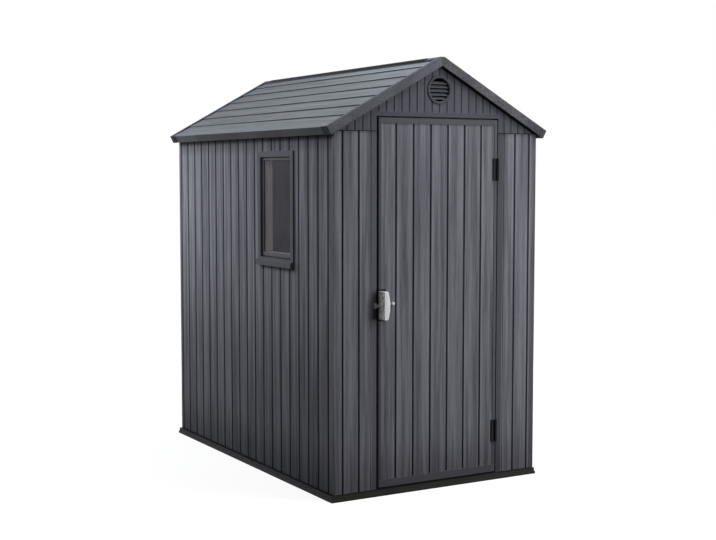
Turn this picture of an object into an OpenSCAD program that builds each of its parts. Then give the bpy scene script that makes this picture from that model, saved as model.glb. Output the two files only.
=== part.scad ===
// Garden shed of moulded plank panels: apex roof with lapped boards, one side-hung door,
// one fixed side window and a louvred vent in each gable.
// X runs across the front, +Y runs from the front to the back, +Z is up.
// The origin lies at the middle of the base, on its underside.

/* [Shed] */
// Width over the outer faces of the two side walls
wall_span = 1146; // [1040:2:1500]
// Length over the outer faces of the front and back walls
wall_length = 1832; // [1500:2:2600]
// Thickness of every wall panel and gable
wall_t = 18; // [14:0.5:26]

/* [Planks] */
// Plank width on the side walls
side_plank = 97; // [70:1:130]
// Distance from the front corner to the first groove of a side wall
side_margin = 54; // [30:1:70]
// Plank width on the front and back walls
end_plank = 86; // [60:1:110]
// Distance from a corner to the first groove of a front or back wall
end_margin = 44; // [30:1:70]
// Plank width on the gables
gable_plank = 42; // [30:1:60]
// Width of a plank groove at the surface
groove_w = 11; // [5:0.5:14]
// Depth of a plank groove
groove_d = 5; // [2:0.5:7]
// Depth of a groove on the gables
gable_groove_d = 2.5; // [1.5:0.5:6]
// Depth of the faint groove that shows on the inner face behind each outer one
inner_groove_d = 2; // [1:0.5:3]
// Depth of the wider groove where two wall panels meet
joint_groove_d = 7; // [3:0.5:9]

/* [Base] */
// Height of the floor above the ground
base_h = 34; // [24:1:60]
// How far the base stands out beyond the side and back walls
base_out = 15; // [8:1:25]
// How far the base stands out in front of the front wall
base_front = 4; // [2:1:25]
// Set-back of the upper half of the base edge
base_step = 4; // [2:0.5:7]
// Height of the wider foot of the base edge
foot_h = 12; // [6:1:18]
// Height of the shadow gap between the base edge and the walls
rebate_h = 4; // [2:0.5:6]
// How far that gap runs in under the walls
rebate_d = 6; // [3:0.5:9]
// Depth of the tread recesses in the floor
tread_d = 3; // [1:0.5:6]
// Width of the ribs between the tread recesses
tread_rib = 26; // [14:1:40]

/* [Roof] */
// Height of the roof's top edge at the eave above the foot of the gables
eave_rise = 16; // [0:1:60]
// Slope of the roof in degrees
roof_pitch = 28.85; // [24:0.05:36]
// How far the roof reaches beyond the side walls
eave_out = 47; // [34:1:80]
// How far the roof reaches beyond the front wall
front_out = 23; // [20:1:40]
// How far the roof reaches beyond the back wall
back_out = 20; // [20:1:40]
// Thickness of the roof panels
roof_t = 25; // [18:1:36]
// Exposed width of one roof board
roof_board = 96.5; // [70:0.5:130]
// Exposed width of the lowest board, at the eave
eave_board = 124.5; // [100:0.5:150]
// Height of the step where one board laps the next
lap_step = 5; // [2:0.5:9]
// Width of the ridge cap
cap_w = 60; // [44:1:90]
// Height of the ridge cap
cap_t = 14; // [8:0.5:16]

/* [Roof trim] */
// Depth of the bargeboards and of the eave edge, square to the slope
barge_depth = 42; // [34:1:60]
// Thickness of a bargeboard
barge_t = 9; // [6:0.5:11]
// Width of the trim that laps onto the roof boards, behind the bargeboard
barge_lap = 14; // [8:1:40]
// Thickness of the lapping trim
lap_t = 3; // [2:0.5:5]
// Length of the trim that returns along the eave
eave_return = 65; // [40:1:100]
// Length of the trim that returns along the ridge
ridge_return = 105; // [60:1:150]
// Width of the ridge beam
beam_w = 30; // [20:1:50]
// Depth of the ridge beam below the roof
beam_h = 46; // [30:1:70]

/* [Door] */
// Width of the door leaf
door_w = 677; // [600:1:740]
// Height of the door leaf
door_h = 1732; // [1650:1:1760]
// Thickness of the door leaf
door_t = 26; // [22:1:34]
// Running gap around the door
door_gap = 6; // [5:0.5:9]
// How far the door opening reaches up into the gable
gable_notch = 70; // [30:1:110]
// Plank width on the door
door_plank = 96.5; // [70:0.5:120]
// Height of the plain rail at the top of the door
top_rail = 28; // [18:1:60]
// Height of the plain rail at the foot of the door
foot_rail = 38; // [30:1:90]
// Depth to which the planks of the door lie behind its rails
plank_set = 2.5; // [1:0.5:4]
// Width of the bevelled stile along each upright edge of the door
door_bevel_w = 18; // [10:1:24]
// Depth of that bevel
door_bevel_d = 4; // [2:0.5:7]
// Width of the bevel on the wall beside the door
jamb_bevel_w = 28; // [18:1:36]
// Depth of that bevel
jamb_bevel_d = 5; // [2:0.5:8]
// Width of the fine line between that bevel and the planks
jamb_line_w = 5; // [3:0.5:8]
// Depth of that line
jamb_line_d = 3; // [1.5:0.5:5]
// How far the stop behind the door covers its edge
stop_cover = 10; // [6:1:16]
// Thickness of the door stop
stop_t = 8; // [5:0.5:12]
// Height of the smooth lintel band over the door
lintel_h = 25; // [15:1:40]
// Depth of the recessed fields on the inside of the door
field_d = 4; // [3:1:11]
// Width of the rails and stiles around those fields
field_rail = 70; // [50:1:100]

/* [Hinges] */
// Height of each hinge
hinge_h = 107; // [80:1:150]
// Distance from the foot of the door to the middle of the lower hinge
low_hinge_up = 207; // [120:1:400]
// Distance from the top of the door to the middle of the upper hinge
high_hinge_down = 240; // [120:1:400]
// Radius of the hinge barrel
barrel_r = 7.5; // [6:0.5:9]
// Radius of the hinge pin
pin_r = 3; // [2:0.1:4]
// Distance of the hinge pin in front of the door face
pin_out = 9; // [8.5:0.5:12]
// Distance of the hinge pin in from the door's edge
pin_in = 4.5; // [2:0.5:8]
// Reach of the hinge leaf on the door from the pin
leaf_w = 21; // [14:1:40]
// Width of the hinge leaf on the jamb
jamb_leaf_w = 8; // [6:1:24]
// Thickness of the hinge leaves
leaf_t = 3; // [2:0.5:4]

/* [Handle] */
// Distance from the foot of the door to the middle of the handle
handle_up = 863; // [700:1:1100]
// Length of the handle grip
grip_len = 133; // [110:1:180]
// Width of the handle grip
grip_w = 32; // [24:1:40]
// How far the handle plate shows beside the grip
plate_side = 5; // [2:1:15]
// How far the handle plate runs past the grip's ends
plate_margin = 7; // [3:1:15]
// Thickness of the handle plate
plate_t = 4; // [2:0.5:6]
// How far the grip stands out from the door
grip_out = 57; // [48:1:70]
// Width of the grip at its ends
grip_end_w = 21; // [15:1:23]
// Thickness of the grip's front
grip_t = 15; // [10:0.5:20]
// Thickness of the grip's closed side
grip_side_t = 8; // [4:0.5:12]
// Length of the latch lever beside the handle
lever_len = 40; // [30:1:60]
// Radius of the knob at the lever's end
knob_r = 7; // [5:0.5:12]

/* [Window] */
// Width over the window casing
window_w = 387; // [300:1:480]
// Height over the window casing
window_h = 567; // [420:1:620]
// Distance from the front corner to the casing
window_in = 388; // [250:1:420]
// Distance from the foot of the gables down to the top of the casing
window_down = 85; // [50:1:300]
// Width of the casing bars
casing_bar = 29; // [24:1:40]
// Height of the sill
sill_h = 40; // [30:1:60]
// How far the casing stands out from the wall
casing_out = 9; // [5:0.5:14]
// How far the sill stands out from the wall
sill_out = 24; // [16:1:40]
// Width of the inner frame bars, with the shadow gap outside them
sash_bar = 15; // [12:1:24]
// Height of the inner frame's lower bar, with the shadow gap under it
sash_foot = 25; // [16:1:40]
// Width of the shadow gap between the casing and the inner frame
sash_gap = 6; // [3:0.5:8]
// Depth of that gap behind the inner frame's face
sash_step = 7; // [3:0.5:10]
// How far the lining behind the pane reaches into the shed
lining_in = 35; // [15:1:60]
// Thickness of the pane
pane_t = 4; // [3:0.5:5]

/* [Vents] */
// Radius of the clear opening of a vent
vent_r = 55; // [40:1:62]
// Width of the ring around the vent
vent_ring = 13; // [8:1:18]
// How far the ring stands out from the gable
vent_out = 5; // [3:0.5:8]
// Distance between the louvre slats
slat_pitch = 18; // [14:1:26]
// Height of the vent's middle below the roof's peak
vent_drop = 159; // [150:1:200]

/* [Hidden] */

$fn = 48;
eps = 1;                 // how far a cutting tool runs past the face that it cuts
fit = 0.3;               // gap around a piece that sits in a hole
wall_colour = "#6d6e77";
roof_colour = "#8d959c";
trim_colour = "#5b5e66";
base_colour = "#2b2c2a";
black_plastic = "#1d1d20";
silver = "#c3c4c6";
lining_colour = "#9a938d";

groove_half = groove_w / 2;
groove_floor = groove_w / 6;

// Door opening
door_half = door_w / 2;
opening_half = door_half + door_gap;
stile_x = door_half - door_bevel_w;
door_z0 = base_h + door_gap;
door_z1 = door_z0 + door_h;
lintel_z = door_z1 + door_gap;
stop_y = door_t + door_gap;
stop_half = door_half - stop_cover;
stop_post = 20;          // width of the post that carries the door stop

// Main planes
half_span = wall_span / 2;
front_y = -wall_length / 2;
back_y = wall_length / 2;
seam_h = lintel_z - gable_notch;
eave_h = seam_h + eave_rise;
roof_half = half_span + eave_out;
peak_z = eave_h + roof_half * tan(roof_pitch);
roof_front_y = front_y - front_out;
roof_back_y = back_y + back_out;
cap_half = cap_w / 2;
cap_seat_z = peak_z - cap_half * tan(roof_pitch) - lap_t / cos(roof_pitch);
slope_len = (roof_half - cap_half) / cos(roof_pitch);
roof_under = -(lap_t + roof_t);
lap_count = round((slope_len - eave_board) / roof_board);

gable_in = 5;            // how far the face of a gable lies behind the wall face below it

// Hinges
hinge_x = door_half - pin_in;
hinge_y = front_y - pin_out;
low_hinge_z = door_z0 + low_hinge_up;
high_hinge_z = door_z1 - high_hinge_down;
knuckle_gap = 0.5;       // gap between the knuckles of a hinge
knuckle_clear = 1;       // gap between a knuckle and the leaf cut away round it
pin_play = 0.1;          // play of the hinge pin in its knuckle

// Handle
handle_z = door_z0 + handle_up;
plate_edge = 1;          // how far the handle plate stays inside the door's edge
plate_x0 = plate_edge - door_half;
plate_x1 = plate_x0 + grip_w + plate_side;

// Window
hole_lip = 15;           // width of the casing that laps the wall around its hole
casing_y0 = front_y + window_in;
casing_z0 = seam_h - window_down - window_h;
casing_light_w = window_w - 2 * casing_bar;
casing_light_h = window_h - casing_bar - sill_h;
sash_set = 12;           // how far the inner frame lies behind the casing's face
pane_lap = 6;            // how far the pane runs into the inner frame
pane_set = 6;            // how far the pane lies behind the inner frame's face
pane_x = -half_span - casing_out + sash_set + pane_set;
lining_t = 3;            // thickness of the flange of the lining behind the pane

vent_z = peak_z - vent_drop;

// The side panels meet at the groove nearest the middle that is clear of the window
middle_groove = round((wall_length / 2 - side_margin) / side_plank);
window_groove = ceil((window_in + window_w - side_margin) / side_plank);
wall_mid_y = front_y + side_margin + side_plank * max(middle_groove, window_groove);

// Point of the right-hand roof slope: s up the slope from the eave, h out from its face
function slope_point(s, h) = [
    roof_half - s * cos(roof_pitch) + h * sin(roof_pitch),
    eave_h + s * sin(roof_pitch) + h * cos(roof_pitch)
];

// Underside of the roof panels at the ridge
function under_peak() = peak_z + roof_under / cos(roof_pitch);

// Places of the grooves between two limits, counted from a first one
function groove_places(first, pitch, low, high) = [
    for (g = [first : pitch : high]) if (g > low) g
];

// First groove of an end panel that lies past a limit, counted in from the corner
function first_from_corner(limit) =
    half_span - end_margin - end_plank * floor((half_span - end_margin - limit) / end_plank);

// Outline of one groove of depth d in a face at y = 0
function groove_outline(x, d) = [
    [x - groove_half, 0],
    [x - groove_floor, d],
    [x + groove_floor, d],
    [x + groove_half, 0]
];

// Cutting tool for the same groove, which runs past the face along the groove's own sides
function groove_cut(x, d) =
    let (spread = (groove_half - groove_floor) * eps / d)
    [
        [x - groove_half - spread, -eps],
        [x - groove_floor, d],
        [x + groove_floor, d],
        [x + groove_half + spread, -eps]
    ];

// Depth of the bevelled jamb at a distance x from the middle of the door
function jamb_depth(x) = jamb_bevel_d * (opening_half + jamb_bevel_w - x) / jamb_bevel_w;

// Depth of the bevelled door edge at a distance x from the middle of the door
function door_depth(x) = door_bevel_d * (x - door_half + door_bevel_w) / door_bevel_w;

// Plank panel seen from above: outer face at y = 0, inner face at y = wall_t.
// Where it meets another panel, at x0 or x1, its edge is half of the joint's groove.
module plank_section(x0, x1, grooves, joint0 = false, joint1 = false) {
    outer = [for (g = grooves) each groove_outline(g, groove_d)];
    left_half = [[x0, joint_groove_d], [x0 + groove_floor, joint_groove_d], [x0 + groove_half, 0]];
    right_half = [[x1 - groove_half, 0], [x1 - groove_floor, joint_groove_d], [x1, joint_groove_d]];
    start = joint0 ? left_half : [[x0, 0]];
    end = joint1 ? right_half : [[x1, 0]];
    inner = [
        for (i = [len(grooves) - 1 : -1 : 0])
            for (k = [3 : -1 : 0])
                let (p = groove_outline(grooves[i], inner_groove_d)[k]) [p[0], wall_t - p[1]]
    ];
    polygon(concat(start, outer, end, [[x1, wall_t]], inner, [[x0, wall_t]]));
}

// A section drawn in X and Z, carried along Y from y0 to y1
module along_y(y0, y1) {
    translate([0, y1, 0])
        rotate([90, 0, 0])
            linear_extrude(y1 - y0)
                children();
}

// Everything that stays a seating gap below the underside of both roof slopes
module under_roof() {
    reach = roof_half + eave_out;
    seat_z = under_peak() - fit;
    low = seat_z - reach * tan(roof_pitch);
    along_y(roof_front_y - eps, roof_back_y + eps)
        polygon([[-reach, 0], [reach, 0], [reach, low], [0, seat_z], [-reach, low]]);
}

// ---------- base ----------

// Back half of the floor: a stepped edge that stands out by end_out at the end, a rebate
// under the walls and tread recesses on top
module floor_half(end_out) {
    cells_x = 5;
    cells_y = 4;
    half = half_span + base_out;
    cell_w = 2 * (half_span - wall_t) / cells_x;
    cell_l = (back_y - stop_y - stop_t) / cells_y;
    color(base_colour)
        difference() {
            union() {
                translate([-half, 0, 0])
                    cube([2 * half, back_y + end_out, foot_h]);
                translate([base_step - half, 0, 0])
                    cube([2 * (half - base_step), back_y + end_out - base_step, base_h - rebate_h]);
                translate([rebate_d - half_span, 0, 0])
                    cube([2 * (half_span - rebate_d), back_y - rebate_d, base_h]);
            }
            for (i = [0 : cells_x - 1])
                for (j = [0 : cells_y - 1])
                    translate([
                        wall_t - half_span + i * cell_w + tread_rib / 2,
                        j * cell_l + tread_rib / 2,
                        base_h - tread_d
                    ])
                        cube([cell_w - tread_rib, cell_l - tread_rib, tread_d + eps]);
        }
}

module floor_back() {
    floor_half(base_out);
}

module floor_front() {
    mirror([0, 1, 0]) floor_half(base_front);
}

// ---------- walls ----------

// Wall beside the door, for the right-hand side: planks, a bevelled jamb and the door stop
module front_panel() {
    grooves = groove_places(
        first_from_corner(opening_half + jamb_bevel_w),
        end_plank, opening_half + jamb_bevel_w, half_span - groove_w);
    post_x = opening_half + stop_post;
    line_x = opening_half + jamb_bevel_w + jamb_line_w;
    spread = jamb_line_w / 2 * (1 + eps / jamb_line_d);
    color(wall_colour)
        translate([0, front_y, base_h])
            difference() {
                union() {
                    linear_extrude(seam_h - base_h)
                        plank_section(opening_half, half_span, grooves);
                    linear_extrude(seam_h - base_h)
                        polygon([
                            [opening_half, wall_t - eps], [opening_half, stop_y], [stop_half, stop_y],
                            [stop_half, stop_y + stop_t], [post_x, stop_y + stop_t], [post_x, wall_t - eps]
                        ]);
                }
                translate([0, 0, -eps])
                    linear_extrude(seam_h - base_h + 2 * eps)
                        polygon([
                            [opening_half - eps, -eps], [opening_half + jamb_bevel_w, -eps],
                            [opening_half + jamb_bevel_w, 0], [opening_half, jamb_bevel_d],
                            [opening_half - eps, jamb_bevel_d]
                        ]);
                translate([0, 0, -eps])
                    linear_extrude(seam_h - base_h + 2 * eps)
                        polygon([[line_x - spread, -eps], [line_x, jamb_line_d], [line_x + spread, -eps]]);
            }
}

module front_wall_right() {
    front_panel();
}

module front_wall_left() {
    mirror([1, 0, 0]) front_panel();
}

// Part of the left wall from y0 to y1, cut to the roof, with its half of the joint's groove
module side_panel(y0, y1) {
    grooves = groove_places(front_y + side_margin, side_plank, y0 + groove_w, y1 - groove_w);
    behind = y0 == wall_mid_y;
    color(wall_colour)
        intersection() {
            translate([-half_span, 0, base_h])
                mirror([1, -1, 0])
                    linear_extrude(peak_z - base_h)
                        plank_section(y0, y1, grooves, behind, !behind);
            under_roof();
        }
}

module left_wall_front() {
    difference() {
        side_panel(front_y + wall_t, wall_mid_y);
        translate([-half_span - eps, casing_y0 + hole_lip, casing_z0 + hole_lip])
            cube([wall_t + 2 * eps, window_w - 2 * hole_lip, window_h - 2 * hole_lip]);
    }
}

module left_wall_back() {
    side_panel(wall_mid_y, back_y - wall_t);
}

module right_wall_front() {
    mirror([1, 0, 0]) side_panel(front_y + wall_t, wall_mid_y);
}

module right_wall_back() {
    mirror([1, 0, 0]) side_panel(wall_mid_y, back_y - wall_t);
}

// Half of the back wall, for the side at +X
module back_panel() {
    grooves = groove_places(first_from_corner(end_plank / 2), end_plank, end_plank / 2, half_span - groove_w);
    color(wall_colour)
        translate([0, back_y, base_h])
            mirror([0, 1, 0])
                linear_extrude(seam_h - base_h)
                    plank_section(0, half_span, grooves, true);
}

module back_wall_right() {
    back_panel();
}

module back_wall_left() {
    mirror([1, 0, 0]) back_panel();
}

// ---------- gables and vents ----------

// Gable for the front of the shed. Grooves above the door end at groove_foot.
module gable(groove_foot) {
    half_count = floor((half_span - gable_plank / 2) / gable_plank);
    intersection() {
        translate([0, front_y + gable_in, 0])
            difference() {
                translate([-half_span, 0, seam_h])
                    cube([wall_span, wall_t - gable_in, peak_z - seam_h]);
                for (i = [-half_count : half_count])
                    translate([0, 0, abs(i) * gable_plank < opening_half ? groove_foot : seam_h - eps])
                        linear_extrude(peak_z - seam_h)
                            polygon(groove_cut(i * gable_plank, gable_groove_d));
                translate([0, -eps, vent_z])
                    rotate([-90, 0, 0])
                        cylinder(r = vent_r + vent_ring / 2 + fit, h = wall_t - gable_in + 2 * eps);
            }
        under_roof();
    }
}

// Front gable, notched over the door, with the top door stop behind it
module front_gable() {
    color(wall_colour)
        union() {
            difference() {
                gable(lintel_z + lintel_h);
                translate([-opening_half, front_y + gable_in - eps, seam_h - eps])
                    cube([2 * opening_half, wall_t - gable_in + 2 * eps, lintel_z - seam_h + eps]);
            }
            translate([-opening_half, front_y + wall_t - eps, lintel_z])
                cube([2 * opening_half, stop_y + stop_t - wall_t + eps, lintel_h]);
            translate([-opening_half, front_y + stop_y, lintel_z - door_gap - stop_cover])
                cube([2 * opening_half, stop_t, door_gap + stop_cover + eps]);
        }
}

module back_gable() {
    color(wall_colour)
        rotate([0, 0, 180]) gable(seam_h - eps);
}

// Round vent of the front gable: a bevelled flange on a ring that lines the hole, with slats
module vent() {
    slat_t = 2.5;
    slat_depth = 17;
    slat_tilt = 50;
    slat_set = 2;
    slat_drop = 4;
    ring_bevel = 3;
    depth = wall_t - gable_in;
    sleeve_r = vent_r + vent_ring / 2;
    flange_r = vent_r + vent_ring;
    half_slats = floor((vent_r - slat_pitch / 3) / slat_pitch);
    color(wall_colour)
        translate([0, front_y + gable_in, vent_z])
            union() {
                rotate([-90, 0, 0])
                    rotate_extrude()
                        polygon([
                            [vent_r, ring_bevel - vent_out], [vent_r + ring_bevel, -vent_out],
                            [flange_r - ring_bevel, -vent_out], [flange_r, ring_bevel - vent_out],
                            [flange_r, 0], [sleeve_r, 0], [sleeve_r, depth], [vent_r, depth]
                        ]);
                intersection() {
                    for (i = [-half_slats : half_slats])
                        translate([
                            -vent_r - eps, slat_set,
                            i * slat_pitch - slat_drop - slat_depth * sin(slat_tilt) / 2
                        ])
                            rotate([slat_tilt, 0, 0])
                                cube([2 * (vent_r + eps), slat_depth, slat_t]);
                    rotate([-90, 0, 0])
                        cylinder(r = vent_r + eps, h = depth);
                }
            }
}

module front_vent() {
    vent();
}

module back_vent() {
    rotate([0, 0, 180]) vent();
}

// ---------- roof ----------

// Section of the right-hand roof panel: lapped boards above, a drop edge at the eave
module roof_section() {
    edge_t = 12;
    face = -lap_t;
    laps = [
        for (k = [0 : lap_count - 1])
            each [
                slope_point(eave_board + k * roof_board, face - lap_step),
                slope_point(eave_board + k * roof_board, face)
            ]
    ];
    polygon(concat(
        [slope_point(lap_t, face)],
        laps,
        [
            [cap_half, cap_seat_z - lap_step / cos(roof_pitch)],
            [cap_half, cap_seat_z],
            [0, cap_seat_z],
            [0, under_peak()],
            slope_point(lap_t + edge_t, roof_under),
            slope_point(lap_t + edge_t, -barge_depth),
            slope_point(lap_t, -barge_depth)
        ]
    ));
}

module roof_right() {
    color(roof_colour)
        along_y(roof_front_y + barge_t, roof_back_y - barge_t)
            roof_section();
}

module roof_left() {
    mirror([1, 0, 0]) roof_right();
}

module ridge_cap() {
    shoulder = 5;
    color(trim_colour)
        along_y(roof_front_y + ridge_return, roof_back_y - ridge_return)
            polygon([
                [-cap_half, cap_seat_z], [cap_half, cap_seat_z],
                [cap_half, cap_seat_z + cap_t - shoulder],
                [cap_half - 2 * shoulder, cap_seat_z + cap_t],
                [2 * shoulder - cap_half, cap_seat_z + cap_t],
                [-cap_half, cap_seat_z + cap_t - shoulder]
            ]);
}

// Beam under the ridge, from gable to gable
module ridge_beam() {
    shoulder_z = under_peak() - beam_w / 2 * tan(roof_pitch);
    color(black_plastic)
        along_y(front_y + wall_t, back_y - wall_t)
            polygon([
                [-beam_w / 2, under_peak() - beam_h], [beam_w / 2, under_peak() - beam_h],
                [beam_w / 2, shoulder_z], [0, under_peak()], [-beam_w / 2, shoulder_z]
            ]);
}

// Bargeboard of the right-hand slope, with its face at y = end_y and its returns along
// the roof boards, the eave and the ridge
module barge(end_y) {
    flat_top = cap_seat_z + cap_t;
    eave_foot = slope_point(0, -barge_depth);
    eave_top = slope_point(0, 0);
    eave_inner = slope_point(lap_t, 0);
    cap_edge = [cap_half, peak_z - cap_half * tan(roof_pitch)];
    flat_edge = [(peak_z - flat_top) / tan(roof_pitch), flat_top];
    color(trim_colour)
        union() {
            along_y(end_y, end_y + barge_t)
                polygon([
                    eave_foot, eave_top, eave_inner, cap_edge, flat_edge,
                    [0, flat_top], [0, peak_z - barge_depth / cos(roof_pitch)]
                ]);
            along_y(end_y, end_y + barge_t + barge_lap)
                polygon([slope_point(0, -lap_t), eave_top, eave_inner, cap_edge, [cap_half, cap_seat_z]]);
            along_y(end_y, end_y + eave_return)
                polygon([eave_foot, eave_top, eave_inner, slope_point(lap_t, -barge_depth)]);
            along_y(end_y, end_y + ridge_return)
                polygon([[0, cap_seat_z], [cap_half, cap_seat_z], cap_edge, flat_edge, [0, flat_top]]);
        }
}

module front_barge_right() {
    barge(roof_front_y);
}

module front_barge_left() {
    mirror([1, 0, 0]) barge(roof_front_y);
}

module back_barge_right() {
    mirror([0, 1, 0]) barge(-roof_back_y);
}

module back_barge_left() {
    rotate([0, 0, 180]) barge(-roof_back_y);
}

// ---------- window ----------

// Casing around the window: a lipped frame through the wall, with a sloping sill
module window_casing() {
    sill_fall = 10;
    lower_lip = 6;
    sill_top = sill_h - lower_lip;
    color(wall_colour)
        translate([-half_span, casing_y0, casing_z0])
            difference() {
                union() {
                    translate([-casing_out, 0, 0])
                        cube([casing_out, window_w, window_h]);
                    translate([-eps, hole_lip + fit, hole_lip + fit])
                        cube([
                            wall_t + eps,
                            window_w - 2 * hole_lip - 2 * fit,
                            window_h - 2 * hole_lip - 2 * fit
                        ]);
                    along_y(0, window_w)
                        polygon([
                            [0, 0], [-sill_out, 0], [-sill_out, sill_top - sill_fall],
                            [-casing_out, sill_top], [0, sill_top]
                        ]);
                }
                translate([-casing_out - eps, casing_bar, sill_h])
                    cube([casing_out + wall_t + 2 * eps, casing_light_w, casing_light_h]);
            }
}

// Block as deep as d in X, from the plane x, that leaves a margin inside the casing's light,
// and as much as foot at the bottom
module light_block(x, d, margin, foot) {
    translate([x, casing_y0 + casing_bar + margin, casing_z0 + sill_h + foot])
        cube([d, casing_light_w - 2 * margin, casing_light_h - margin - foot]);
}

// Inner frame of the window: a raised bead inside a shadow gap, rebated behind for the pane
module window_frame() {
    face_x = -half_span - casing_out + sash_set;
    depth = wall_t + casing_out - sash_set;
    color(trim_colour)
        difference() {
            union() {
                light_block(face_x, sash_step + eps, sash_gap, sash_gap);
                light_block(face_x + sash_step, depth - sash_step, fit, fit);
            }
            light_block(face_x - eps, depth, sash_bar, sash_foot);
            light_block(pane_x, depth, sash_bar - pane_lap, sash_foot - pane_lap);
        }
}

module window_pane() {
    color("#8a9196", 0.5)
        light_block(pane_x, pane_t, sash_bar - pane_lap + fit, sash_foot - pane_lap + fit);
}

// Lining behind the pane: a tube that holds it in its rebate, with a flange on the wall inside
module window_lining() {
    inner_x = -half_span + wall_t;
    tube_x = pane_x + pane_t;
    tube_l = inner_x + lining_in - tube_x;
    flange = casing_bar - hole_lip;
    color(lining_colour)
        difference() {
            union() {
                light_block(
                    tube_x, tube_l, sash_bar - pane_lap + fit, sash_foot - pane_lap + fit);
                light_block(inner_x, lining_t, -flange, -flange);
            }
            light_block(tube_x - eps, tube_l + 2 * eps, sash_bar, sash_foot);
        }
}

// ---------- door ----------

// Door leaf: planks set behind plain rails and stiles outside, two recessed fields inside
module door_panel() {
    grooves = groove_places(
        door_plank / 2 - door_plank * floor(door_half / door_plank),
        door_plank, -stile_x, stile_x);
    plank_l = door_h - foot_rail - top_rail;
    field_w = door_w - 2 * field_rail;
    field_l = (door_h - 3 * field_rail) / 2;
    color(wall_colour)
        translate([0, front_y, door_z0])
            difference() {
                linear_extrude(door_h)
                    polygon([
                        [-door_half, door_bevel_d], [-stile_x, 0], [stile_x, 0],
                        [door_half, door_bevel_d], [door_half, door_t], [-door_half, door_t]
                    ]);
                translate([-stile_x, -eps, foot_rail])
                    cube([2 * stile_x, plank_set + eps, plank_l]);
                for (g = grooves)
                    translate([0, plank_set, foot_rail])
                        linear_extrude(plank_l)
                            polygon(groove_cut(g, groove_d));
                for (k = [0, 1])
                    translate([-field_w / 2, door_t - field_d, field_rail + k * (field_l + field_rail)])
                        cube([field_w, field_d + eps, field_l]);
            }
}

// Ring of a hinge barrel about the pin, from z0 to z1, with a bore of radius r
module knuckle(z0, z1, r) {
    translate([0, 0, z0])
        difference() {
            cylinder(r = barrel_r, h = z1 - z0);
            translate([0, 0, -eps])
                cylinder(r = r, h = z1 - z0 + 2 * eps);
        }
}

// Frame half of a hinge at height z: a leaf on the jamb, two knuckles and the pin
module hinge_frame(z) {
    third = hinge_h / 3;
    near_x = opening_half - hinge_x;
    far_x = near_x + jamb_leaf_w;
    outline = [
        [0, barrel_r], [near_x, pin_out + jamb_depth(opening_half)],
        [far_x, pin_out + jamb_depth(hinge_x + far_x)],
        [far_x, pin_out + jamb_depth(hinge_x + far_x) - leaf_t],
        [barrel_r, 0], [0, 0]
    ];
    color(black_plastic)
        translate([hinge_x, hinge_y, z - hinge_h / 2])
            union() {
                difference() {
                    linear_extrude(hinge_h)
                        polygon(outline);
                    translate([0, 0, third - knuckle_gap])
                        cylinder(r = barrel_r + knuckle_clear, h = third + 2 * knuckle_gap);
                }
                cylinder(r = barrel_r, h = third - knuckle_gap);
                translate([0, 0, 2 * third + knuckle_gap])
                    cylinder(r = barrel_r, h = third - knuckle_gap);
                translate([0, 0, third - knuckle_gap - eps])
                    cylinder(r = pin_r, h = third + 2 * knuckle_gap + 2 * eps);
            }
}

// Door half of a hinge at height z: a leaf on the door face and the middle knuckle
module hinge_leaf(z) {
    third = hinge_h / 3;
    bevel_x = stile_x - hinge_x;
    outline = [
        [-leaf_w, pin_out - leaf_t], [-leaf_w, pin_out + plank_set],
        [bevel_x - fit, pin_out + plank_set], [bevel_x - fit, pin_out], [bevel_x, pin_out],
        [0, pin_out + door_depth(hinge_x)], [0, 0]
    ];
    color(black_plastic)
        translate([hinge_x, hinge_y, z - hinge_h / 2])
            difference() {
                union() {
                    difference() {
                        linear_extrude(hinge_h)
                            polygon(outline);
                        for (z0 = [-eps, 2 * third])
                            translate([0, 0, z0])
                                cylinder(r = barrel_r + knuckle_clear, h = third + eps);
                    }
                    translate([0, 0, third])
                        cylinder(r = barrel_r, h = third);
                }
                translate([0, 0, -eps])
                    cylinder(r = pin_r + pin_play, h = hinge_h + 2 * eps);
            }
}

module upper_hinge_frame() {
    hinge_frame(high_hinge_z);
}

module lower_hinge_frame() {
    hinge_frame(low_hinge_z);
}

module upper_hinge_leaf() {
    hinge_leaf(high_hinge_z);
}

module lower_hinge_leaf() {
    hinge_leaf(low_hinge_z);
}

// ---------- handle and latch ----------

// Plate under the grip, seated on the stile and on the planks beside it
module handle_plate() {
    color(black_plastic)
        translate([0, front_y, handle_z - grip_len / 2 - plate_margin])
            linear_extrude(grip_len + 2 * plate_margin)
                polygon([
                    [plate_x0, door_depth(-plate_x0)], [-stile_x, 0], [fit - stile_x, 0],
                    [fit - stile_x, plank_set], [plate_x1, plank_set],
                    [plate_x1, -plate_t], [plate_x0, -plate_t]
                ]);
}

// Pull grip: straight down its closed side, bowed down the other, where the fingers go in
module handle_grip() {
    leg = 14;
    grip_edge = 3;
    half_l = grip_len / 2;
    bow = grip_w - grip_end_w;
    bow_r = (half_l * half_l + bow * bow) / (2 * bow);
    depth = grip_out - plate_t;
    color(silver)
        translate([plate_x0, front_y - plate_t, handle_z])
            difference() {
                intersection() {
                    translate([0, 0, -half_l])
                        linear_extrude(grip_len)
                            polygon([
                                [0, 0], [0, grip_edge - depth], [grip_edge, -depth],
                                [grip_w, -depth], [grip_w, 0]
                            ]);
                    rotate([90, 0, 90])
                        linear_extrude(grip_w)
                            polygon([
                                [0, -half_l], [grip_edge - depth, -half_l],
                                [-depth, grip_edge - half_l], [-depth, half_l - grip_edge],
                                [grip_edge - depth, half_l], [0, half_l]
                            ]);
                    translate([grip_w - bow_r, 0, 0])
                        rotate([90, 0, 0])
                            cylinder(r = bow_r, h = depth);
                }
                translate([grip_side_t, grip_t - depth, leg - half_l])
                    cube([grip_w, depth - grip_t + eps, grip_len - 2 * leg]);
            }
}

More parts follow.
